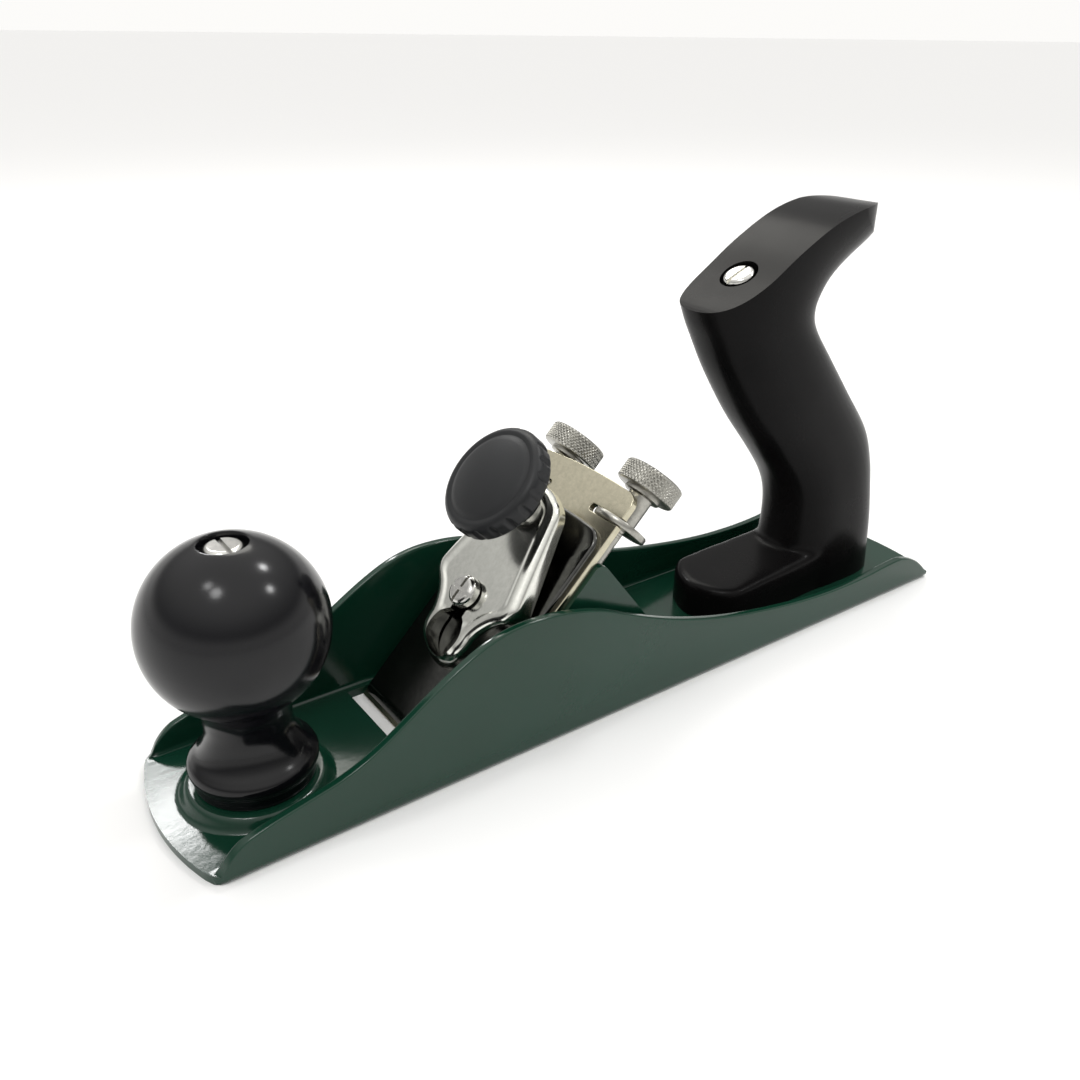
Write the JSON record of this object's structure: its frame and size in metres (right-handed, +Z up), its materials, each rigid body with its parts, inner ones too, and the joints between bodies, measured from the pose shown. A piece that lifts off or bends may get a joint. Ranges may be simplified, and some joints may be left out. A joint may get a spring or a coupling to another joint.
{
  "type": "hand plane",
  "caption": "Bench hand plane with a pressed steel sole, screw-adjusted iron, keyhole lever cap, ball knob and forward-leaning rear handle.",
  "frame": {"origin": "middle of the sole's underside", "axes": "+X towards the toe, the way the plane cuts; +Y to the user's left; +Z up"},
  "size_m": [0.245, 0.05, 0.118],
  "materials": {
    "green_enamel": "gloss",
    "black_knob": "gloss",
    "black_tote": "satin gloss",
    "thumb_black": "satin",
    "iron_steel": "fine ground",
    "blued_steel": "blued, polished",
    "cap_nickel": "satin nickel plate",
    "zinc_plate": "zinc plate, knurled",
    "bright_steel": "bright",
    "plain_steel": "plain"
  },
  "bodies": {
    "sole": {"sole_body": "green_enamel", "front_knob": "black_knob", "knob_stud": "plain_steel", "knob_washer": "bright_steel", "knob_nut": "bright_steel", "rear_tote": "black_tote", "tote_stud": "plain_steel", "tote_washer": "bright_steel", "tote_nut": "bright_steel", "tote_anchor": "plain_steel", "tote_anchor_rivet": "plain_steel", "tote_toe_screw": "plain_steel", "frog": "green_enamel", "frog_rivet_left": "plain_steel", "frog_rivet_right": "plain_steel", "adjuster_bush_left": "plain_steel", "adjuster_bush_right": "plain_steel", "lever_cap_screw": "bright_steel", "lever_cap_nut": "plain_steel"},
    "iron": {"blade": "iron_steel", "cap_iron": "blued_steel", "cap_iron_screw": "plain_steel"},
    "adjuster_left": {"adjuster_screw_left": "zinc_plate"},
    "adjuster_right": {"adjuster_screw_right": "zinc_plate"},
    "lever_cap": {"lever_cap": "cap_nickel", "thumb_bush": "bright_steel"},
    "thumb_pad": {"thumb_pad": "plain_steel"},
    "thumb_screw": {"thumb_stud": "plain_steel", "thumb_knob": "thumb_black"}
  },
  "joints": [
    {"name": "iron_depth", "type": "slide", "parent": "sole", "child": "iron", "axis": [0.7071, 0, -0.7071], "range_m": [-0.0028, 0.00105]},
    {"name": "adjuster_left_turn", "type": "hinge", "parent": "iron", "child": "adjuster_left", "pos_m": [0.00177, 0.0155, 0.05291], "axis": [0.7071, 0, -0.7071], "range_deg": [-1440, 540]},
    {"name": "adjuster_right_turn", "type": "hinge", "parent": "iron", "child": "adjuster_right", "pos_m": [0.00177, -0.0155, 0.05291], "axis": [0.7071, 0, -0.7071], "range_deg": [-1440, 540]},
    {"name": "lever_cap_slide", "type": "slide", "parent": "sole", "child": "lever_cap", "axis": [-0.7071, 0, 0.7071], "range_m": [0, 0.011]},
    {"name": "thumb_feed", "type": "slide", "parent": "lever_cap", "child": "thumb_pad", "axis": [0.7071, 0, 0.7071], "range_m": [0, 0.002]},
    {"name": "thumb_turn", "type": "hinge", "parent": "thumb_pad", "child": "thumb_screw", "pos_m": [0.02518, 0, 0.05439], "axis": [0.7071, 0, 0.7071], "range_deg": [0, 720]}
  ],
  "couplings": [
    {"joint": "adjuster_left_turn", "follows": "iron_depth", "rad_per_m": 8975},
    {"joint": "adjuster_right_turn", "follows": "iron_depth", "rad_per_m": 8975},
    {"joint": "thumb_feed", "follows": "thumb_turn", "m_per_rad": 0.000159}
  ]
}
